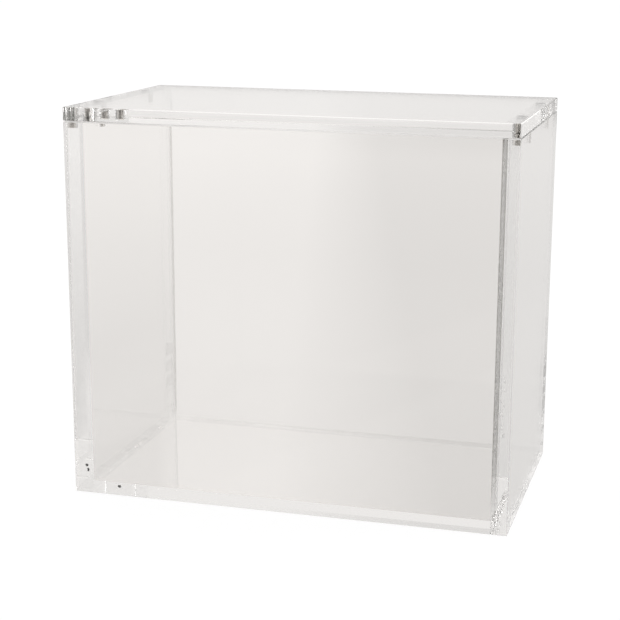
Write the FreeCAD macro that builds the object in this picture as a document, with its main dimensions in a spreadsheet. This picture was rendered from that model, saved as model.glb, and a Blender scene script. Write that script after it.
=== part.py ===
import FreeCAD, Part
import os
import Sketcher

# Clear acrylic display case with a lift-off lid.
# Five cemented sheets make an open box, and a loose plate covers it. Small round magnets in the
# top edges of the two side panels meet four more in the underside of the lid.
# Millimetres, +X to the right, +Y to the back, +Z up, origin in the middle of the underside.

# Driving dimensions: name, value, what it measures
SIZES = [
    ("case_width", 200, "outside, across the front panel"),
    ("case_depth", 114, "outside, front face to back face"),
    ("wall_height", 170, "all four walls stand on the ground"),
    ("side_thickness", 8, "sheet of the side panels, which carry the magnets"),
    ("front_thickness", 5, "sheet of the front panel"),
    ("back_thickness", 5, "sheet of the back panel"),
    ("base_thickness", 5, "sheet of the base"),
    ("lid_thickness", 6, "sheet of the lid"),
    ("wall_bevel", 0.4, "sanded bevel along the outside edges of the walls"),
    ("lid_bevel", 0.3, "bevel along the edges of the lid"),
    ("magnet_diameter", 5, "round magnets, all alike"),
    ("magnet_height", 5, "along the magnet's axis"),
    ("magnet_bevel", 0.3, "rounded rim of the plating"),
    ("magnet_clearance", 0.1, "between magnet and hole, all round"),
    ("magnet_proud", 0.1, "each magnet stands out of its sheet, so the lid rides on the magnets"),
    ("magnet_inset", 29, "magnet axis from the front or back face"),
]

doc = FreeCAD.newDocument("DisplayCase")

sheet = doc.addObject("Spreadsheet::Sheet", "sizes")
for row, (alias, value, note) in enumerate(SIZES, 1):
    sheet.set(f"A{row}", alias)
    sheet.set(f"B{row}", str(value))
    sheet.set(f"C{row}", note)
    sheet.setAlias(f"B{row}", alias)
doc.recompute()

# Places and fits that several pieces share, as expressions on the sheet
INNER_WIDTH = "(sizes.case_width - 2 * sizes.side_thickness)"
INNER_DEPTH = "(sizes.case_depth - sizes.front_thickness - sizes.back_thickness)"
LEFT_SIDE = "(-sizes.case_width / 2)"
RIGHT_SIDE = "(sizes.case_width / 2)"
FRONT_SIDE = "(-sizes.case_depth / 2)"
BACK_SIDE = "(sizes.case_depth / 2)"
HOLE_DIAMETER = "(sizes.magnet_diameter + 2 * sizes.magnet_clearance)"
HOLE_DEPTH = "(sizes.magnet_height - sizes.magnet_proud)"
LID_UNDERSIDE = "(sizes.wall_height + 2 * sizes.magnet_proud)"
MAGNET_FROM_EDGE = "(sizes.side_thickness / 2)"
MAGNET_ROWS = {"front": "sizes.magnet_inset", "rear": "(sizes.case_depth - sizes.magnet_inset)"}

bodies = []


def new_body(label, x, y, z):
    """An empty body whose own origin sits at the place that three expressions give."""
    body = doc.addObject("PartDesign::Body", label)
    body.Label = label
    for axis, place in zip("xyz", (x, y, z)):
        body.setExpression(f"Placement.Base.{axis}", place)
    bodies.append(body)
    return body


def new_sketch(body, name, role, height=None):
    """A sketch on one of the body's origin planes, or parallel to it at a height."""
    plane = next(item for item in body.Origin.OriginFeatures if item.Role == role)
    sketch = body.newObject("Sketcher::SketchObject", f"{body.Name}_{name}")
    sketch.AttachmentSupport = (plane, "")
    sketch.MapMode = "FlatFace"
    if height is not None:
        sketch.setExpression("AttachmentOffset.Base.z", height)
    return sketch


def bind(sketch, constraint, expression):
    """Adds a dimension to the sketch and ties it to the sheet."""
    index = sketch.addConstraint(constraint)
    sketch.setExpression(f"Constraints[{index}]", expression)


def draw_rectangle(sketch, across, along):
    """A rectangle with one corner on the sketch's origin."""
    corners = [FreeCAD.Vector(*corner) for corner in ((0, 0), (1, 0), (1, 1), (0, 1))]
    for start, end in zip(corners, corners[1:] + corners[:1]):
        sketch.addGeometry(Part.LineSegment(start, end))
    for line in range(4):
        sketch.addConstraint(Sketcher.Constraint("Coincident", line, 2, (line + 1) % 4, 1))
        sketch.addConstraint(Sketcher.Constraint("Vertical" if line % 2 else "Horizontal", line))
    sketch.addConstraint(Sketcher.Constraint("Coincident", 0, 1, -1, 1))
    bind(sketch, Sketcher.Constraint("DistanceX", 0, 1, 0, 2, 1), across)
    bind(sketch, Sketcher.Constraint("DistanceY", 1, 1, 1, 2, 1), along)


def draw_circle(sketch, across, along, diameter):
    """A circle whose centre is measured from the sketch's origin."""
    centre = FreeCAD.Vector(1, 1)
    circle = sketch.addGeometry(Part.Circle(centre, FreeCAD.Vector(0, 0, 1), 1))
    bind(sketch, Sketcher.Constraint("DistanceX", -1, 1, circle, 3, 1), across)
    bind(sketch, Sketcher.Constraint("DistanceY", -1, 1, circle, 3, 1), along)
    bind(sketch, Sketcher.Constraint("Diameter", circle, 1), diameter)


def add_pad(body, sketch, length, reverse=False):
    """Raises a sketch to a solid."""
    pad = body.newObject("PartDesign::Pad", f"{body.Name}_blank")
    pad.Profile = sketch
    pad.Reversed = reverse
    pad.setExpression("Length", length)
    doc.recompute()
    return pad


def sides_of(edge, box):
    """The names of the sides of a box-shaped sheet that an edge lies in."""
    planes = {
        "left": (0, box.XMin),
        "right": (0, box.XMax),
        "front": (1, box.YMin),
        "back": (1, box.YMax),
        "bottom": (2, box.ZMin),
        "top": (2, box.ZMax),
    }
    near = FreeCAD.Base.Precision.confusion()
    ends = [vertex.Point for vertex in edge.Vertexes]
    return {side for side, (axis, at) in planes.items() if all(abs(end[axis] - at) < near for end in ends)}


def add_bevel(body, blank, exposed, size):
    """Bevels each edge between two sides that stay in the open once the case is cemented."""
    box = Part.Compound(blank.Shape.Vertexes).BoundBox
    edges = enumerate(blank.Shape.Edges, 1)
    names = [f"Edge{number}" for number, edge in edges if sides_of(edge, box) <= exposed]
    bevel = body.newObject("PartDesign::Chamfer", f"{body.Name}_bevel")
    bevel.Base = (blank, names)
    bevel.setExpression("Size", size)
    doc.recompute()


def add_magnet_holes(body, columns, front_gap, height, upwards):
    """Blind holes for magnets, at each column and each depth row less the body's gap from the front face."""
    sketch = new_sketch(body, "hole_circles", "XY_Plane", height)
    for column in columns:
        for depth_row in MAGNET_ROWS.values():
            draw_circle(sketch, column, f"{depth_row} - {front_gap}", HOLE_DIAMETER)
    before = body.Shape.Volume
    holes = body.newObject("PartDesign::Pocket", f"{body.Name}_holes")
    holes.Profile = sketch
    holes.Reversed = upwards
    holes.setExpression("Length", HOLE_DEPTH)
    doc.recompute()
    if not body.Shape.Volume < before:
        raise RuntimeError(f"{body.Label}: the holes cut nothing")


# Base: lies on the ground between the four walls and is cemented to them along its edges
base = new_body("base_panel", f"{LEFT_SIDE} + sizes.side_thickness", f"{FRONT_SIDE} + sizes.front_thickness", "0")
outline = new_sketch(base, "outline", "XY_Plane")
draw_rectangle(outline, INNER_WIDTH, INNER_DEPTH)
add_pad(base, outline, "sizes.base_thickness")

# Front and back: run the full width and are cemented to the ends of the side panels
for label, place, thickness, face in (
    ("front_panel", FRONT_SIDE, "sizes.front_thickness", "front"),
    ("back_panel", f"{BACK_SIDE} - sizes.back_thickness", "sizes.back_thickness", "back"),
):
    panel = new_body(label, LEFT_SIDE, place, "0")
    outline = new_sketch(panel, "outline", "XZ_Plane")
    draw_rectangle(outline, "sizes.case_width", "sizes.wall_height")
    blank = add_pad(panel, outline, thickness, reverse=True)
    add_bevel(panel, blank, {face, "left", "right", "bottom", "top"}, "sizes.wall_bevel")

# Sides: the thick sheets fit between the front and the back, with two magnet holes in each top edge
for label, place, face in (
    ("left_panel", LEFT_SIDE, "left"),
    ("right_panel", f"{RIGHT_SIDE} - sizes.side_thickness", "right"),
):
    panel = new_body(label, place, f"{FRONT_SIDE} + sizes.front_thickness", "0")
    outline = new_sketch(panel, "outline", "YZ_Plane")
    draw_rectangle(outline, INNER_DEPTH, "sizes.wall_height")
    blank = add_pad(panel, outline, "sizes.side_thickness")
    add_bevel(panel, blank, {face, "bottom", "top"}, "sizes.wall_bevel")
    add_magnet_holes(panel, [MAGNET_FROM_EDGE], "sizes.front_thickness", "sizes.wall_height", upwards=False)

# Lid: a loose plate as large as the case, with four magnet holes in its underside
lid = new_body("lid_panel", LEFT_SIDE, FRONT_SIDE, LID_UNDERSIDE)
outline = new_sketch(lid, "outline", "XY_Plane")
draw_rectangle(outline, "sizes.case_width", "sizes.case_depth")
blank = add_pad(lid, outline, "sizes.lid_thickness")
add_bevel(lid, blank, {"left", "right", "front", "back", "bottom", "top"}, "sizes.lid_bevel")
lid_columns = [MAGNET_FROM_EDGE, f"(sizes.case_width - {MAGNET_FROM_EDGE})"]
add_magnet_holes(lid, lid_columns, "0", "0", upwards=True)

# Magnets: plated cylinders glued to the bottoms of their holes, in pairs that meet at the seam
for prefix, foot in (
    ("magnet", f"sizes.wall_height - {HOLE_DEPTH}"),
    ("lid_magnet", f"{LID_UNDERSIDE} - sizes.magnet_proud"),
):
    for side, column in (
        ("left", f"{LEFT_SIDE} + {MAGNET_FROM_EDGE}"),
        ("right", f"{RIGHT_SIDE} - {MAGNET_FROM_EDGE}"),
    ):
        for depth_row, inset in MAGNET_ROWS.items():
            magnet = new_body(f"{prefix}_{side}_{depth_row}", column, f"{FRONT_SIDE} + {inset}", foot)
            circle = new_sketch(magnet, "circle", "XY_Plane")
            draw_circle(circle, "0", "0", "sizes.magnet_diameter")
            blank = add_pad(magnet, circle, "sizes.magnet_height")
            rims = [number for number, edge in enumerate(blank.Shape.Edges, 1) if edge.isClosed()]
            bevel = magnet.newObject("PartDesign::Chamfer", f"{magnet.Name}_bevel")
            bevel.Base = (blank, [f"Edge{number}" for number in rims])
            bevel.setExpression("Size", "sizes.magnet_bevel")

doc.recompute()

# Nothing is written unless every feature worked and every piece is one sound solid
for item in doc.Objects:
    if {"Invalid", "Error"} & set(item.State):
        raise RuntimeError(f"{item.Label} failed: {item.State}")
for body in bodies:
    if body.Shape.isNull() or not body.Shape.isValid() or len(body.Shape.Solids) != 1:
        raise RuntimeError(f"{body.Label} is not one valid solid")

os.makedirs("parts", exist_ok=True)
for body in bodies:
    body.Shape.exportStep(f"parts/{body.Label}.step")
    box = body.Shape.BoundBox
    print(f"{body.Label}: {body.Shape.Volume:.1f} mm3, z {box.ZMin:.2f} to {box.ZMax:.2f}")
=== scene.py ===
import math

import bpy
import numpy as np
from mathutils import Matrix, Vector


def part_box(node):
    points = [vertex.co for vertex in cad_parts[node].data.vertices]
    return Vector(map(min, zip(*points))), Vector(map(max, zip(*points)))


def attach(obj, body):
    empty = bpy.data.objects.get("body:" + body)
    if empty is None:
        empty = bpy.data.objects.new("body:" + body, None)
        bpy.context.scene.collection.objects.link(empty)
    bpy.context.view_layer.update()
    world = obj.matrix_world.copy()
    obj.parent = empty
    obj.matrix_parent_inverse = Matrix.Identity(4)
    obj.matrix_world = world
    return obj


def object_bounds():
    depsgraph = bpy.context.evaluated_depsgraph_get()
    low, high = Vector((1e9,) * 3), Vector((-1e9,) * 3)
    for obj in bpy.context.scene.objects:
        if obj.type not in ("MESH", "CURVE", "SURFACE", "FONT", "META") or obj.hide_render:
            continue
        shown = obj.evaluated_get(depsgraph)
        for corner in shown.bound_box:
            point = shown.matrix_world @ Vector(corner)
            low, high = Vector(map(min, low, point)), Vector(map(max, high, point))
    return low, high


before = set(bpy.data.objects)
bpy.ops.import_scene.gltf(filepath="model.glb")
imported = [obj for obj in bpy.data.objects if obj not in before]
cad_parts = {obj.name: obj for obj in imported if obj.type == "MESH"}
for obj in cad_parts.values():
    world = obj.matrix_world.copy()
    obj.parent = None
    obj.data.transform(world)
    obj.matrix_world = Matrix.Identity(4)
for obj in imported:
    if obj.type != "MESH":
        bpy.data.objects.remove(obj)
cad_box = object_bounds()
scene = bpy.context.scene


# Walls and base
# Five sheets of clear cast acrylic, sawn to size, with polished faces and sanded bevels. They are
# run together with a thin cement that leaves no air behind, so a sound joint can't be seen at all.
# Handling leaves a thin haze on the outside of the sheets.
ACRYLIC_INDEX = 1.49
CLEAR_COLOUR = (0.99, 0.983, 0.975, 1)
HAZE_COLOUR = (0.975, 0.967, 0.958, 1)
HAZE_SCALE = 7.0
HAZE_DETAIL = 1.5
HAZE_RAMP = (0.3, 0.7)
SMEAR_SCALE = 38.0
SMEAR_DETAIL = 4.0
SMEAR_RAMP = (0.52, 0.75)
SMEAR_ROUGHNESS = 0.02
STREAK_SCALE = 2200.0
STREAK_DETAIL = 2.0
STREAK_SQUEEZE = 0.06
MARK_STRENGTH = 0.6
MARK_DEPTH = 0.0003
WALL_BEVEL = 0.0004
SANDED_ROUGHNESS = 0.35
HOLE_REACH = 0.00285
HOLE_SLACK = 0.0004
HOLE_ROUGHNESS = 0.18
HOLE_RELIEF = 2
JOINT_SLACK = 2e-5
CEMENTED = {
    "base_panel": ("front_panel", "back_panel", "left_panel", "right_panel"),
    "front_panel": ("base_panel", "left_panel", "right_panel"),
    "back_panel": ("base_panel", "left_panel", "right_panel"),
    "left_panel": ("base_panel", "front_panel", "back_panel"),
    "right_panel": ("base_panel", "front_panel", "back_panel"),
}


class Signal:
    """A node's output. Used in a sum, it adds the Math nodes for that sum."""

    def __init__(self, nodes, socket):
        self.nodes = nodes
        self.socket = socket

    def math(self, operation, *values):
        made = self.nodes.add("ShaderNodeMath", {"operation": operation}, dict(enumerate(values)))
        return made["Value"]

    def __add__(self, other):
        return self.math("ADD", self, other)

    def __sub__(self, other):
        return self.math("SUBTRACT", self, other)

    def __rsub__(self, other):
        return self.math("SUBTRACT", other, self)

    def __mul__(self, other):
        return self.math("MULTIPLY", self, other)

    def __truediv__(self, other):
        return self.math("DIVIDE", self, other)

    def __gt__(self, other):
        return self.math("GREATER_THAN", self, other)

    def __lt__(self, other):
        return self.math("LESS_THAN", self, other)

    def __or__(self, other):
        return self.math("MAXIMUM", self, other)

    def __abs__(self):
        return self.math("ABSOLUTE", self)

    def ramp(self, low, high):
        """0 below low, 1 above high, and an even rise between them."""
        inputs = {"Value": self, "From Min": low, "From Max": high}
        return self.nodes.add("ShaderNodeMapRange", {"clamp": True}, inputs)["Result"]

    __radd__ = __add__
    __rmul__ = __mul__
    __ror__ = __or__


class Nodes:
    """An empty node tree, with one method that adds any node to it."""

    def __init__(self, tree):
        self.tree = tree
        tree.nodes.clear()

    def add(self, kind, settings=None, inputs=None):
        """Adds a node, sets it up, fills its sockets, and gives its outputs by name."""
        made = self.tree.nodes.new(kind)
        for name, value in (settings or {}).items():
            setattr(made, name, value)
        for name, value in (inputs or {}).items():
            if isinstance(value, Signal):
                self.tree.links.new(value.socket, made.inputs[name])
            else:
                made.inputs[name].default_value = value
        return {output.name: Signal(self, output) for output in made.outputs if output.enabled}


def new_finish(name):
    """A new material, its empty nodes, and the place on the piece, whole and as X, Y and Z."""
    material = bpy.data.materials.new(name)
    material.use_nodes = True
    nodes = Nodes(material.node_tree)
    spot = nodes.add("ShaderNodeTexCoord")["Object"]
    return material, nodes, spot, nodes.add("ShaderNodeSeparateXYZ", {}, {"Vector": spot})


def speckle(nodes, spot, scale, detail):
    """Noise that varies about one half, with its scale in specks to the metre."""
    return nodes.add("ShaderNodeTexNoise", {}, {"Vector": spot, "Scale": scale, "Detail": detail})["Fac"]


def stretched(nodes, spot, squeeze):
    """The place with its height squeezed, so that a pattern on it is drawn out upright."""
    return nodes.add("ShaderNodeMapping", {}, {"Vector": spot, "Scale": (1, 1, squeeze)})["Vector"]


def blend(nodes, share, first, second):
    """The first colour where the share is 0 and the second where it is 1, in the node's sockets 6 and 7."""
    inputs = {"Factor": share, 6: first, 7: second}
    return nodes.add("ShaderNodeMix", {"data_type": "RGBA"}, inputs)["Result"]


def dress(name, material):
    """Gives a CAD node one finish in place of its own."""
    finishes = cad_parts[name].data.materials
    finishes.clear()
    finishes.append(material)


def inside(place, box):
    """1 where a point lies in a box or within the joint's slack of it: six comparisons, multiplied."""
    held = 1
    for axis, low, high in zip("XYZ", *box):
        held = (place[axis] > low - JOINT_SLACK) * (place[axis] < high + JOINT_SLACK) * held
    return held


def sanded_bevel(place, size):
    """1 where a point is nearer than the bevel's size to two outer sides, but 0 along the left foot."""
    half_width, half_depth, _ = cad_box[1]
    near_end = abs(place["X"]) > half_width - size
    near_face = abs(place["Y"]) > half_depth - size
    near_edge = 0
    for panel in ("front_panel", "lid_panel"):
        low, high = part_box(panel)
        edges = (abs(place["Z"] - low[2]) < size) | (abs(place["Z"] - high[2]) < size)
        near_edge = edges | near_edge
    left_foot = (place["X"] < 0) * (place["Z"] < size)
    return near_end * near_face | near_face * near_edge | near_end * near_edge * (1 - left_foot)


def drilled_hole(place):
    """1 on the walls of the magnet holes: near a magnet's axis, between the ends of a pair of holes."""
    low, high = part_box("magnet_right_rear")
    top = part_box("lid_magnet_right_rear")[1][2]
    across = abs(place["X"]) - (low[0] + high[0]) / 2
    along = abs(place["Y"]) - (low[1] + high[1]) / 2
    in_height = (place["Z"] > low[2] - HOLE_SLACK) * (place["Z"] < top + HOLE_SLACK)
    return (across * across + along * along < HOLE_REACH * HOLE_REACH) * in_height


def sheet_inputs(nodes, spot, upright, hole, sanded, marks):
    """What every sheet has: haze in its colour, smears and sanding in its roughness, streaks as relief."""
    haze = speckle(nodes, spot, HAZE_SCALE, HAZE_DETAIL)
    smear = speckle(nodes, spot, SMEAR_SCALE, SMEAR_DETAIL)
    streak = speckle(nodes, upright, STREAK_SCALE, STREAK_DETAIL)
    relief = {"Strength": MARK_STRENGTH, "Distance": MARK_DEPTH, "Height": streak * marks}
    smeared = SMEAR_ROUGHNESS * smear.ramp(*SMEAR_RAMP)
    return {
        "Base Color": blend(nodes, haze.ramp(*HAZE_RAMP), CLEAR_COLOUR, HAZE_COLOUR),
        "Roughness": smeared + SANDED_ROUGHNESS * sanded + HOLE_ROUGHNESS * hole,
        "IOR": ACRYLIC_INDEX,
        "Transmission Weight": 1.0,
        "Normal": nodes.add("ShaderNodeBump", {}, relief)["Normal"],
    }


def clear_acrylic(name, neighbours):
    """Clear sheet with sanded bevels and drilled holes, and with no surface where it is cemented."""
    material, nodes, spot, place = new_finish(f"acrylic_{name}")
    upright = stretched(nodes, spot, STREAK_SQUEEZE)
    hole = drilled_hole(place)
    inputs = sheet_inputs(nodes, spot, upright, hole, sanded_bevel(place, WALL_BEVEL), HOLE_RELIEF * hole)
    joint = 0
    for neighbour in neighbours:
        joint = inside(place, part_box(neighbour)) | joint
    inputs["Alpha"] = 1 - joint
    sheet = nodes.add("ShaderNodeBsdfPrincipled", {}, inputs)["BSDF"]
    nodes.add("ShaderNodeOutputMaterial", {}, {"Surface": sheet})
    return material


for name, neighbours in CEMENTED.items():
    dress(name, clear_acrylic(name, neighbours))


# Lid
# A sixth sheet, as wide and deep as the case and bevelled all round, which lies loose on top. The
# front half of its two short edges still shows the saw: grey dust sits in the marks on the left, and
# is also painted shade, a dark reflection laid on the sawn end. The right one is frosted pale, and the
# pale frost is also painted light, the light carried through the lid from the left end. Its four
# blind holes show too.
LID_BEVEL = 0.0003
SAWN_SANDING = 0.2
CHATTER_SCALE = 380.0
CHATTER_DETAIL = 2.0
CHATTER_RELIEF = 5
BLOT_SCALE = 240.0
BLOT_DETAIL = 3.0
BLOT_RAMP = (0.47, 0.6)
GREY_DUST_AND_SHADE = (0.13, 0.14, 0.12, 1)
PALE_FROST_AND_LIGHT = (0.95, 0.94, 0.93, 1)
DUST_AND_PAINT_SHARE = 0.75
FROST_AND_LIGHT_COVER = 1.1
FROST_AND_LIGHT_CHATTER = 0.8


def dull_skin(nodes, colour):
    """A matte layer with no shine of its own, such as dust, frost and the skins of voids, whose colours
    here also carry painted shade and painted light.
    """
    inputs = {"Base Color": colour, "Roughness": 1.0, "Specular IOR Level": 0.0}
    return nodes.add("ShaderNodeBsdfPrincipled", {}, inputs)["BSDF"]


def sawn_acrylic(name):
    """Clear sheet with sanded lower bevels, drilled holes and saw marks on its short edges: grey dust that
    is also painted shade on the left, pale frost that is also painted light on the right.
    """
    material, nodes, spot, place = new_finish(f"acrylic_{name}")
    upright = stretched(nodes, spot, STREAK_SQUEEZE)
    low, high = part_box(name)
    ends = (abs(place["X"]) > high[0] - LID_BEVEL) * (place["Y"] < 0)
    lower_front = (place["Z"] < (low[2] + high[2]) / 2) * (place["Y"] < high[1] - LID_BEVEL)
    chatter = speckle(nodes, upright, CHATTER_SCALE, CHATTER_DETAIL) - 0.5
    hole = drilled_hole(place)
    sanded = sanded_bevel(place, LID_BEVEL) * lower_front + SAWN_SANDING * ends
    marks = HOLE_RELIEF * hole + CHATTER_RELIEF * ends * chatter
    inputs = sheet_inputs(nodes, spot, upright, hole, sanded, marks)
    sheet = nodes.add("ShaderNodeBsdfPrincipled", {}, inputs)["BSDF"]
    on_right = place["X"] > 0
    # Painted shade and light: the grey dust on the left end stands in for a dark reflection, and the pale
    # frost on the right end stands in for light carried in from the left end.
    blot = speckle(nodes, upright, BLOT_SCALE, BLOT_DETAIL).ramp(*BLOT_RAMP)
    frost_and_light = on_right * (FROST_AND_LIGHT_COVER + FROST_AND_LIGHT_CHATTER * chatter)
    dust_shade_and_light = dull_skin(nodes, blend(nodes, on_right, GREY_DUST_AND_SHADE, PALE_FROST_AND_LIGHT))
    shares = {0: ends * DUST_AND_PAINT_SHARE * (blot | frost_and_light), 1: sheet, 2: dust_shade_and_light}
    dusty_and_painted = nodes.add("ShaderNodeMixShader", {}, shares)["Shader"]
    nodes.add("ShaderNodeOutputMaterial", {}, {"Surface": dusty_and_painted})
    return material


dress("lid_panel", sawn_acrylic("lid_panel"))


# Magnets
# Short round magnets with bright nickel plate, pressed and glued into the blind holes. The plate
# has a fine grain, and is dulled in spots where the meeting faces of each pair rub together.
PLATE_COLOUR = (0.62, 0.60, 0.57, 1)
DULL_COLOUR = (0.30, 0.29, 0.27, 1)
GRAIN_SCALE = 2600.0
GRAIN_DETAIL = 3.0
PLATE_ROUGHNESS = 0.08
GRAIN_ROUGHNESS = 0.2
RUBBED_HEIGHT = 0.0006
RUBBED_SHARE = 0.4
RUBBED_RAMP = (0.62, 0.85)


def nickel_plate(name, meeting_face):
    """Bright plate with fine grain, dulled in spots near the face where two magnets meet."""
    material, nodes, spot, place = new_finish(name)
    grain = speckle(nodes, spot, GRAIN_SCALE, GRAIN_DETAIL)
    near = 1 - (abs(place["Z"] - meeting_face) / RUBBED_HEIGHT).ramp(0.0, 1.0)
    dull = (near * RUBBED_SHARE + grain).ramp(*RUBBED_RAMP)
    inputs = {
        "Base Color": blend(nodes, dull, PLATE_COLOUR, DULL_COLOUR),
        "Metallic": 1.0,
        "Roughness": PLATE_ROUGHNESS + GRAIN_ROUGHNESS * grain,
    }
    plate = nodes.add("ShaderNodeBsdfPrincipled", {}, inputs)["BSDF"]
    nodes.add("ShaderNodeOutputMaterial", {}, {"Surface": plate})
    return material


magnet_finish = nickel_plate("nickel_plate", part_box("magnet_left_front")[1][2])
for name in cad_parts:
    if "magnet" in name:
        dress(name, magnet_finish)


# Cement voids
# Flat bubbles of air that the cement trapped in the joints of the right panel, some of them misted,
# and three single ones in the front joint. The white mist is also a painted reflection of the bright
# floor, and the single ones wear a dark skin that is a painted dark reflection. Air in acrylic bends
# light the other way round.
VOID_TURNS = 10
VOID_TILTS = 7
VOID_SEED = 11
FORWARD_REACH = (-0.051, 0.016)
FORWARD_COUNT = 38
REARWARD_REACH = (0.030, 0.050)
REARWARD_COUNT = 12
SMALL_SIZE = (0.00025, 0.0006)
SMALL_SHAPE = (0.25, 1.5, 0.9)
LONG_FORWARD = (-0.048, 0.014, 22)
LONG_REARWARD = (0.032, 0.048, 8)
LONG_HEIGHT = (0.0014, 0.0036)
LONG_SIZE = (0.8, 1.2)
LONG_SHAPE = (0.0002, 0.0016, 0.001)
REAR_COUNT = 24
REAR_ACROSS = (0.0974, 0.0993)
REAR_HEIGHT = (0.020, 0.052)
REAR_SIZE = (0.0002, 0.0006)
REAR_SHAPE = (1.0, 0.35, 1.8)
SINGLE_CENTRES = [(-0.0954, -0.052, 0.0120), (-0.0948, -0.052, 0.0098), (-0.0795, -0.052, 0.0032)]
SINGLE_RADII = [(0.0008, 0.0006, 0.0007), (0.0006, 0.0005, 0.0009), (0.0009, 0.0006, 0.0007)]
MIST_SCALE = 900.0
MIST_DETAIL = 2.0
MIST_ROUGHNESS = 0.12
MIST_ROUGH_RAMP = (0.45, 0.75)
MIST_AND_REFLECTION_COLOUR = (0.95, 0.94, 0.93, 1)
MIST_AND_REFLECTION_SHARE = 0.4
MIST_CLEARING = 0.2
MIST_CLEARING_RAMP = (0.4, 0.6)
DARK_REFLECTION_COLOUR = (0.03, 0.03, 0.03, 1)
DARK_REFLECTION_SHARE = 0.75
base_low, base_high = (np.array(corner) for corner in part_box("base_panel"))


def round_drops(centres, radii):
    """Ellipsoids: centre + radii * (cos turn sin tilt, sin turn sin tilt, cos tilt), poles closed."""
    turn = np.linspace(0, 2 * np.pi, VOID_TURNS, endpoint=False)
    tilt = np.linspace(0, np.pi, VOID_TILTS)[1:-1, None]
    rings = np.stack(
        [np.cos(turn) * np.sin(tilt), np.sin(turn) * np.sin(tilt), np.cos(tilt) + 0 * turn], axis=-1
    ).reshape(-1, 3)
    unit = np.concatenate([rings, [(0, 0, 1), (0, 0, -1)]])
    points = centres[:, None] + radii[:, None] * unit
    this = np.arange(VOID_TURNS)
    after = (this + 1) % VOID_TURNS
    row = VOID_TURNS * np.arange(VOID_TILTS - 3)[:, None]
    quads = np.stack([row + this, row + this + VOID_TURNS, row + after + VOID_TURNS, row + after], axis=-1)
    last = VOID_TURNS * (VOID_TILTS - 3)
    caps = np.concatenate(
        [
            np.stack([0 * this + len(rings), this, after], axis=-1),
            np.stack([0 * this + len(rings) + 1, last + after, last + this], axis=-1),
        ]
    )
    step = len(unit) * np.arange(len(centres))[:, None, None]
    faces = (quads.reshape(-1, 4) + step).reshape(-1, 4).tolist() + (caps + step).reshape(-1, 3).tolist()
    return points.reshape(-1, 3), faces


def new_piece(name, points, faces, material, body):
    """Adds a smooth mesh object at the origin, which rides on a body and has a slot for its finish."""
    mesh = bpy.data.meshes.new(name)
    mesh.from_pydata(points.tolist(), [], faces)
    mesh.polygons.foreach_set("use_smooth", np.ones(len(faces), dtype=bool))
    mesh.materials.append(material)
    piece = bpy.data.objects.new(name, mesh)
    scene.collection.objects.link(piece)
    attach(piece, body)


def trapped_air(name):
    """Glass of the acrylic's index turned upside down, with a white mist on the right that is also a
    painted reflection, and a painted dark reflection on the left.
    """
    material, nodes, spot, place = new_finish(name)
    mist = speckle(nodes, spot, MIST_SCALE, MIST_DETAIL)
    inputs = {"Roughness": MIST_ROUGHNESS * mist.ramp(*MIST_ROUGH_RAMP), "IOR": 1 / ACRYLIC_INDEX}
    gap = nodes.add("ShaderNodeBsdfGlass", {}, inputs)["BSDF"]
    on_right = place["X"] > 0
    in_base = on_right * (place["Z"] < float(base_high[2]))
    # The mist share is partly a painted reflection, and the dark share on the left is a painted dark
    # reflection.
    mist_and_reflection = in_base * (MIST_AND_REFLECTION_SHARE - MIST_CLEARING * mist.ramp(*MIST_CLEARING_RAMP))
    skin = dull_skin(nodes, blend(nodes, on_right, DARK_REFLECTION_COLOUR, MIST_AND_REFLECTION_COLOUR))
    shares = {0: DARK_REFLECTION_SHARE * (1 - on_right) + mist_and_reflection, 1: gap, 2: skin}
    bubble = nodes.add("ShaderNodeMixShader", {}, shares)["Shader"]
    nodes.add("ShaderNodeOutputMaterial", {}, {"Surface": bubble})
    return material


chance = np.random.default_rng(VOID_SEED)
small_count = FORWARD_COUNT + REARWARD_COUNT
small_along = np.concatenate(
    [chance.uniform(*FORWARD_REACH, FORWARD_COUNT), chance.uniform(*REARWARD_REACH, REARWARD_COUNT)]
)
small_size = chance.uniform(*SMALL_SIZE, small_count)
small_height = chance.uniform(0.0, base_high[2], small_count)
small_height = np.clip(small_height, small_size, base_high[2] - small_size)
small_centres = np.stack([np.full(small_count, base_high[0]), small_along, small_height], axis=-1)
small_radii = small_size[:, None] * np.array(SMALL_SHAPE)
long_along = np.concatenate([np.linspace(*LONG_FORWARD), np.linspace(*LONG_REARWARD)])
long_count = len(long_along)
long_height = chance.uniform(*LONG_HEIGHT, long_count)
long_centres = np.stack([np.full(long_count, base_high[0]), long_along, long_height], axis=-1)
long_radii = chance.uniform(*LONG_SIZE, long_count)[:, None] * np.array(LONG_SHAPE)
rear_across = chance.uniform(*REAR_ACROSS, REAR_COUNT)
rear_height = chance.uniform(*REAR_HEIGHT, REAR_COUNT)
rear_centres = np.stack([rear_across, np.full(REAR_COUNT, base_high[1]), rear_height], axis=-1)
rear_radii = chance.uniform(*REAR_SIZE, REAR_COUNT)[:, None] * np.array(REAR_SHAPE)
void_points, void_faces = round_drops(
    np.concatenate([small_centres, long_centres, rear_centres, SINGLE_CENTRES]),
    np.concatenate([small_radii, long_radii, rear_radii, SINGLE_RADII]),
)
new_piece("cement_voids", void_points, void_faces, trapped_air("trapped_air"), "case")


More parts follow.
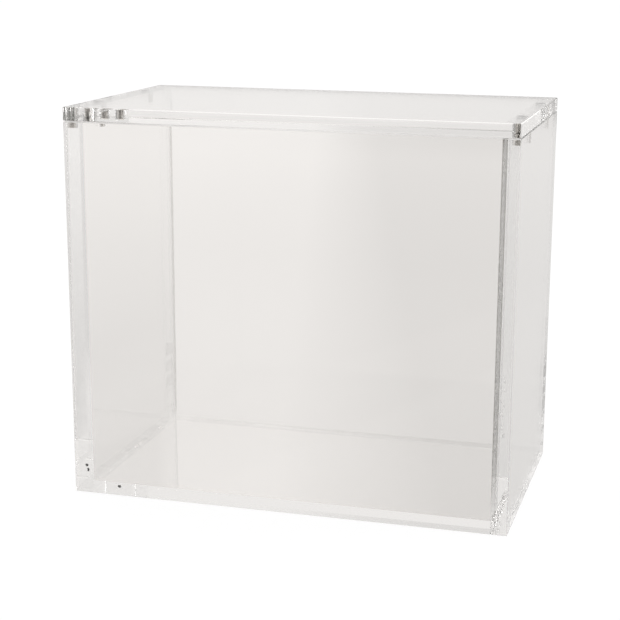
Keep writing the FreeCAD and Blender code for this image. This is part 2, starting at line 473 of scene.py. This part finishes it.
# Cement beads
# Runs of cement that were pressed out of the joints and set in the inner corners: one up the left
# rear corner, and two short ones along the foot of the left wall. They are a little wavy. The
# short ones set clear, and the upright one a little grey.
BEAD_TURNS = 12
BEAD_STEPS = 80
BEAD_END = 0.0005
BEAD_END_POWER = 6
BEAD_RADIUS = 0.00045
BEAD_GAP = 0.0005
BEAD_TOP_GAP = 0.0012
WAVE_DEPTH = 0.1
WAVE_RATE = 37
WAVE_DRIFT = 2
WAVE_DRIFT_RATE = 11
RIPPLE_SCALE = 900.0
RIPPLE_DETAIL = 2.0
RIPPLE_STRENGTH = 0.5
RIPPLE_DEPTH = 0.0002
RIPPLE_ROUGHNESS = 0.05
GREY_CEMENT = (0.80, 0.797, 0.79, 1)
bead_x = float(base_low[0]) + BEAD_GAP
bead_y = float(base_high[1]) - BEAD_GAP
bead_z = float(base_high[2]) + BEAD_GAP
bead_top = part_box("left_panel")[1][2] - BEAD_TOP_GAP
BEAD_RUNS = [
    ((bead_x, bead_y, bead_z), (bead_x, bead_y, bead_top), (1, 0, 0), (0, 1, 0)),
    ((bead_x, -0.0047, bead_z), (bead_x, 0.0077, bead_z), (0, 0, 1), (1, 0, 0)),
    ((bead_x, 0.0277, bead_z), (bead_x, 0.0313, bead_z), (0, 0, 1), (1, 0, 0)),
]


def bead_run(start, end, first, second):
    """A circle along a line, of radius * sqrt(1 - |2t - 1|^power) to close both ends, times a slow wave."""
    t = np.linspace(BEAD_END, 1 - BEAD_END, BEAD_STEPS)[:, None]
    turn = np.linspace(0, 2 * np.pi, BEAD_TURNS, endpoint=False)
    drift = WAVE_DRIFT * np.sin(WAVE_DRIFT_RATE * t)
    wave = 1 - WAVE_DEPTH + WAVE_DEPTH * np.sin(WAVE_RATE * t + drift)
    radius = BEAD_RADIUS * np.sqrt(1 - np.abs(2 * t - 1) ** BEAD_END_POWER) * wave
    ring = np.cos(turn)[:, None] * np.array(first) + np.sin(turn)[:, None] * np.array(second)
    middle = np.array(start) + t * (np.array(end) - np.array(start))
    points = (middle[:, None] + radius[:, :, None] * ring).reshape(-1, 3)
    index = np.arange(len(points)).reshape(BEAD_STEPS, BEAD_TURNS)
    after = np.roll(index, -1, axis=1)
    quads = np.stack([index[:-1], after[:-1], after[1:], index[1:]], axis=-1).reshape(-1, 4)
    return points, quads.tolist() + [index[0, ::-1].tolist(), index[-1].tolist()]


def set_cement(name):
    """Cement of the acrylic's index with a fine ripple: clear along the base, a little grey above it."""
    material, nodes, spot, place = new_finish(name)
    ripple = speckle(nodes, spot, RIPPLE_SCALE, RIPPLE_DETAIL)
    relief = {"Strength": RIPPLE_STRENGTH, "Distance": RIPPLE_DEPTH, "Height": ripple}
    inputs = {
        "Base Color": blend(nodes, place["Z"] > bead_z + BEAD_RADIUS, CLEAR_COLOUR, GREY_CEMENT),
        "Roughness": RIPPLE_ROUGHNESS * ripple,
        "IOR": ACRYLIC_INDEX,
        "Transmission Weight": 1.0,
        "Normal": nodes.add("ShaderNodeBump", {}, relief)["Normal"],
    }
    bead = nodes.add("ShaderNodeBsdfPrincipled", {}, inputs)["BSDF"]
    nodes.add("ShaderNodeOutputMaterial", {}, {"Surface": bead})
    return material


bead_points = []
bead_faces = []
for run in BEAD_RUNS:
    points, faces = bead_run(*run)
    shift = sum(map(len, bead_points))
    bead_points.append(points)
    bead_faces += [[corner + shift for corner in face] for face in faces]
bead_points = np.concatenate(bead_points)
new_piece("cement_beads", bead_points, bead_faces, set_cement("set_cement"), "case")


# Corner joints
# The ends of the side panels are run together with the front and the back by a thin cement, which
# sets a little cloudy. On the left the grey film also carries painted shade, darker towards the foot.
# It never reached the inner edge of the right front joint: the sawn end of the side panel is dry
# there and shows as a grey, foamy strip.
FILM_DEPTH = 0.00006
FILM_EDGE = 0.00004
FILM_COLUMNS = 6
FILM_ROWS = 60
FILM_ROUGHNESS = 0.6
CLOUD_AND_SHADE_COLOUR = (0.40, 0.42, 0.41, 1)
CLOUD_SHARE = 0.03
PAINTED_SHADE_LEFT = 0.03
PAINTED_SHADE_FADE = 0.15
CLOUD_MOTTLE = 0.04
CLOUD_SCALE = 60.0
CLOUD_DETAIL = 2.0
DRY_COLOUR = (0.27, 0.26, 0.23, 1)
DRY_WIDTH = 0.0022
DRY_SHARE = 0.44
DRY_EDGES = 0.2
DRY_EDGE_RAMP = (0.35, 0.95)
DRY_FOOT = 0.35
DRY_FULL_HEIGHT = 0.034
FOAM_SHARE = 0.5
FOAM_SCALE = 1500.0
FOAM_DETAIL = 3.0
FOAM_SQUEEZE = 0.35
side_low, side_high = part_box("right_panel")
film_inner = float(side_low[0])
film_foot = float(base_high[2])


def joint_films(across, up):
    """Four flat strips from one grid, across the joint and up the wall, mirrored to the four corners."""
    x, z = np.meshgrid(across, up)
    flat = np.stack([x, np.full_like(x, side_high[1] - FILM_DEPTH), z], axis=-1).reshape(-1, 3)
    corners = np.array([(1, -1, 1), (-1, -1, 1), (1, 1, 1), (-1, 1, 1)])
    index = np.arange(x.size).reshape(x.shape)
    quads = np.stack([index[:-1, :-1], index[:-1, 1:], index[1:, 1:], index[1:, :-1]], axis=-1)
    quads = quads.reshape(-1, 4)
    turned = [quads, quads[:, ::-1], quads[:, ::-1], quads]
    faces = np.concatenate([quad + number * x.size for number, quad in enumerate(turned)])
    return (flat * corners[:, None]).reshape(-1, 3), faces.tolist()


def cement_film(name):
    """Thin cloud with painted shade on the left, darker towards the foot, and a foamy strip in the right
    front joint.
    """
    material, nodes, spot, place = new_finish(name)
    part = (abs(place["X"]) - film_inner) / DRY_WIDTH
    edges = (abs(part - 0.5) * 2).ramp(*DRY_EDGE_RAMP)
    foam = speckle(nodes, stretched(nodes, spot, FOAM_SQUEEZE), FOAM_SCALE, FOAM_DETAIL)
    mottle = speckle(nodes, spot, CLOUD_SCALE, CLOUD_DETAIL)
    rise = DRY_FOOT + (1 - DRY_FOOT) * place["Z"].ramp(film_foot, DRY_FULL_HEIGHT)
    right_front = (place["X"] > 0) * (place["Y"] < 0) * (part < 1) * (place["Z"] > film_foot)
    strip = right_front * (DRY_SHARE + DRY_EDGES * edges + FOAM_SHARE * (foam - 0.5)) * rise
    # Painted shade: on the left the film darkens towards the foot.
    painted_shade_left = (place["X"] < 0) * (PAINTED_SHADE_LEFT - PAINTED_SHADE_FADE * place["Z"])
    cloud_and_shade = CLOUD_SHARE + painted_shade_left + CLOUD_MOTTLE * (mottle - 0.5)
    inputs = {
        "Base Color": blend(nodes, right_front, CLOUD_AND_SHADE_COLOUR, DRY_COLOUR),
        "Roughness": FILM_ROUGHNESS,
        "Alpha": (strip + cloud_and_shade).ramp(0.0, 1.0),
    }
    cement = nodes.add("ShaderNodeBsdfPrincipled", {}, inputs)["BSDF"]
    nodes.add("ShaderNodeOutputMaterial", {}, {"Surface": cement})
    return material


film_across = np.linspace(film_inner + FILM_EDGE, side_high[0] - WALL_BEVEL, FILM_COLUMNS)
film_up = np.linspace(side_low[2] + WALL_BEVEL, side_high[2] - WALL_BEVEL, FILM_ROWS)
film_points, film_faces = joint_films(film_across, film_up)
new_piece("corner_joints", film_points, film_faces, cement_film("cement_film"), "case")


# Floor
# A plain white sheet that is white to the camera, pale in mirrors and through glass, and still takes
# the shadow of the case. The case stands a hair above it, on a film of air. In the acrylic its glow
# carries painted light far behind, under the left half of the case and beside its right side, and
# painted shadow over the right, under the right half, to the left of the case and, in reflections,
# far in front.
FLOOR_GAP = 0.0003
FLOOR_HALF = 20.0
FLOOR_OWN_LIGHT = 0.95
FLOOR_SHADE = 0.06
FLOOR_IN_GLASS = 0.80
FLOOR_FAR_BEHIND = 0.05
FLOOR_UNDER = 0.06
FLOOR_UNDER_RIGHT = 1.6
FLOOR_BRIGHT = 0.2
FLOOR_DIM_RIGHT = 0.12
FLOOR_DIM_LEFT = 0.12
FLOOR_DIM_FRONT = 0.75
BEHIND_RAMP = (0.5, 1.1)
VIEW_LEAN = 0.27
RIGHT_RAMP = (-0.02, 0.06)
LEFT_LEAN = 0.4
LEFT_RAMP = (0.07, 0.082)
LEFT_BACK_RAMP = (0.05, 0.7)
LEFT_FAR_RAMP = (0.2, 0.5)
BRIGHT_RAMP = (0.102, 0.103)
BRIGHT_HALF = 0.06
FRONT_RAMP = (1.2, 1.45)
FRONT_SIDE_RAMP = (0.4, 0.8)
PAPER_WHITE = (1, 1, 1, 1)
PAPER_WARM = (1, 0.985, 0.972, 1)
BLACK = (0, 0, 0, 1)
floor_mesh = bpy.data.meshes.new("floor")
floor_corners = np.array([(-1, -1), (1, -1), (1, 1), (-1, 1)]) * FLOOR_HALF
floor_points = np.column_stack([floor_corners, np.full(4, -FLOOR_GAP)])
floor_mesh.from_pydata(floor_points.tolist(), [], [(0, 1, 2, 3)])
floor = bpy.data.objects.new("floor", floor_mesh)
scene.collection.objects.link(floor)
floor_material, paper, _, floor_place = new_finish("white_paper")
shade = (FLOOR_SHADE, FLOOR_SHADE, FLOOR_SHADE, 1)
matte = paper.add("ShaderNodeBsdfDiffuse", {}, {"Color": shade})["BSDF"]
rays = paper.add("ShaderNodeLightPath")
across, back = floor_place["X"], floor_place["Y"]
half_width, half_depth, _ = cad_box[1]
under = (abs(across) < half_width) * (abs(back) < half_depth)
right = (across + VIEW_LEAN * back).ramp(*RIGHT_RAMP)
left = (0 - across - LEFT_LEAN * back).ramp(*LEFT_RAMP)
left = left * (1 - back.ramp(*LEFT_BACK_RAMP)) * (1 - (0 - across).ramp(*LEFT_FAR_RAMP))
beside = (across > half_width) * (1 - across.ramp(*BRIGHT_RAMP)) * (abs(back) < BRIGHT_HALF)
front = (0 - back).ramp(*FRONT_RAMP) * (1 - abs(across + VIEW_LEAN * back).ramp(*FRONT_SIDE_RAMP))
mirrored = rays["Glossy Depth"] > 0
# Painted light and painted shadow on the floor, seen only in mirrors and through glass.
shown = (
    FLOOR_IN_GLASS
    + FLOOR_FAR_BEHIND * back.ramp(*BEHIND_RAMP)
    + FLOOR_UNDER * under * (1 - FLOOR_UNDER_RIGHT * right)
    + FLOOR_BRIGHT * beside
    - FLOOR_DIM_RIGHT * right
    - FLOOR_DIM_LEFT * left
    - FLOOR_DIM_FRONT * front * mirrored
)
in_glass = (rays["Is Glossy Ray"] | rays["Is Transmission Ray"]) * shown
warm = blend(paper, in_glass, BLACK, PAPER_WARM)
paper_tone = blend(paper, rays["Is Camera Ray"] * FLOOR_OWN_LIGHT, warm, PAPER_WHITE)
glow = paper.add("ShaderNodeEmission", {}, {"Color": paper_tone})["Emission"]
both = paper.add("ShaderNodeAddShader", {}, {0: matte, 1: glow})["Shader"]
paper.add("ShaderNodeOutputMaterial", {}, {"Surface": both})
floor_mesh.materials.append(floor_material)


# Light
# An even pale room, brighter above and darker on the left. The side behind the camera is dark to
# light that was reflected inside the acrylic. One large soft lamp stands on the right.
ROOM_LIGHT = 0.855
ROOM_ABOVE = 1.4
ROOM_DIM = 0.03
ROOM_LEFT = 0.15
ABOVE_RAMP = (0.4, 0.8)
LOW_RAMP = (0.25, 0.35)
CAMERA_SIDE = (0.26, 0.966)
CAMERA_SIDE_RAMP = (0.62, 0.86)
LEFT_SIDE = (0.91, 0.42)
LEFT_SIDE_RAMP = (0.8, 0.95)
LAMP_PLACE = Vector((1.2, 0.55, 0.45))
LAMP_AIM = Vector((0.0, 0.0, 0.09))
LAMP_SIZE = 0.7
LAMP_POWER = 7.5
world = bpy.data.worlds.new("room")
scene.world = world
world.use_nodes = True
room = Nodes(world.node_tree)
heading = room.add("ShaderNodeTexCoord")["Generated"]
towards = room.add("ShaderNodeSeparateXYZ", {}, {"Vector": heading})
room_rays = room.add("ShaderNodeLightPath")
above = towards["Z"].ramp(*ABOVE_RAMP)
from_inside = (room_rays["Glossy Depth"] > 0) * (room_rays["Transmission Depth"] > 0)
low_down = (1 - towards["Z"].ramp(*LOW_RAMP)) * from_inside
camera_side = (CAMERA_SIDE[0] * towards["X"] - CAMERA_SIDE[1] * towards["Y"]).ramp(*CAMERA_SIDE_RAMP)
left_side = (LEFT_SIDE[1] * towards["Y"] - LEFT_SIDE[0] * towards["X"]).ramp(*LEFT_SIDE_RAMP)
dimming = (ROOM_LIGHT - ROOM_DIM) * (camera_side * low_down) | (ROOM_LIGHT - ROOM_LEFT) * left_side
strength = ROOM_LIGHT + (ROOM_ABOVE - ROOM_LIGHT) * above - dimming * (1 - above)
tint = tuple(ROOM_ABOVE * part for part in PAPER_WARM[:3]) + (1,)
room_tone = blend(room, strength / ROOM_ABOVE, BLACK, tint)
room_tone = blend(room, room_rays["Is Camera Ray"], room_tone, PAPER_WHITE)
air = room.add("ShaderNodeBackground", {}, {"Color": room_tone})["Background"]
room.add("ShaderNodeOutputWorld", {}, {"Surface": air})
lamp_data = bpy.data.lights.new("soft_lamp", "AREA")
lamp_data.shape = "SQUARE"
lamp_data.size = LAMP_SIZE
lamp_data.energy = LAMP_POWER
lamp = bpy.data.objects.new("soft_lamp", lamp_data)
lamp.location = LAMP_PLACE
lamp.rotation_euler = (LAMP_AIM - LAMP_PLACE).to_track_quat("-Z", "Y").to_euler()
scene.collection.objects.link(lamp)


# Camera
# A short telephoto view from a little to the right of the front and from above the lid. The light
# may pass through many faces of acrylic before it reaches the camera.
CAMERA_PLACE = Vector((0.1885, -0.66768, 0.24531))
CAMERA_AZIMUTH = math.radians(15.332)
CAMERA_ELEVATION = math.radians(13.829)
CAMERA_ROLL = math.radians(0.375)
CAMERA_SENSOR = 36
CAMERA_LENS = 88.726
CAMERA_SHIFT = (-0.0325, 0.0172)
BOUNCES = 48
CLEAR_BOUNCES = 64
camera_data = bpy.data.cameras.new("camera")
camera = bpy.data.objects.new("camera", camera_data)
scene.collection.objects.link(camera)
scene.camera = camera
camera_data.sensor_width = CAMERA_SENSOR
camera_data.lens = CAMERA_LENS
camera_data.shift_x, camera_data.shift_y = CAMERA_SHIFT
turn = (
    Matrix.Rotation(CAMERA_AZIMUTH, 4, "Z")
    @ Matrix.Rotation(math.pi / 2 - CAMERA_ELEVATION, 4, "X")
    @ Matrix.Rotation(CAMERA_ROLL, 4, "Z")
)
camera.matrix_world = Matrix.Translation(CAMERA_PLACE) @ turn
scene.view_settings.view_transform = "Standard"
scene.cycles.max_bounces = BOUNCES
scene.cycles.transmission_bounces = BOUNCES
scene.cycles.glossy_bounces = BOUNCES
scene.cycles.transparent_max_bounces = CLEAR_BOUNCES
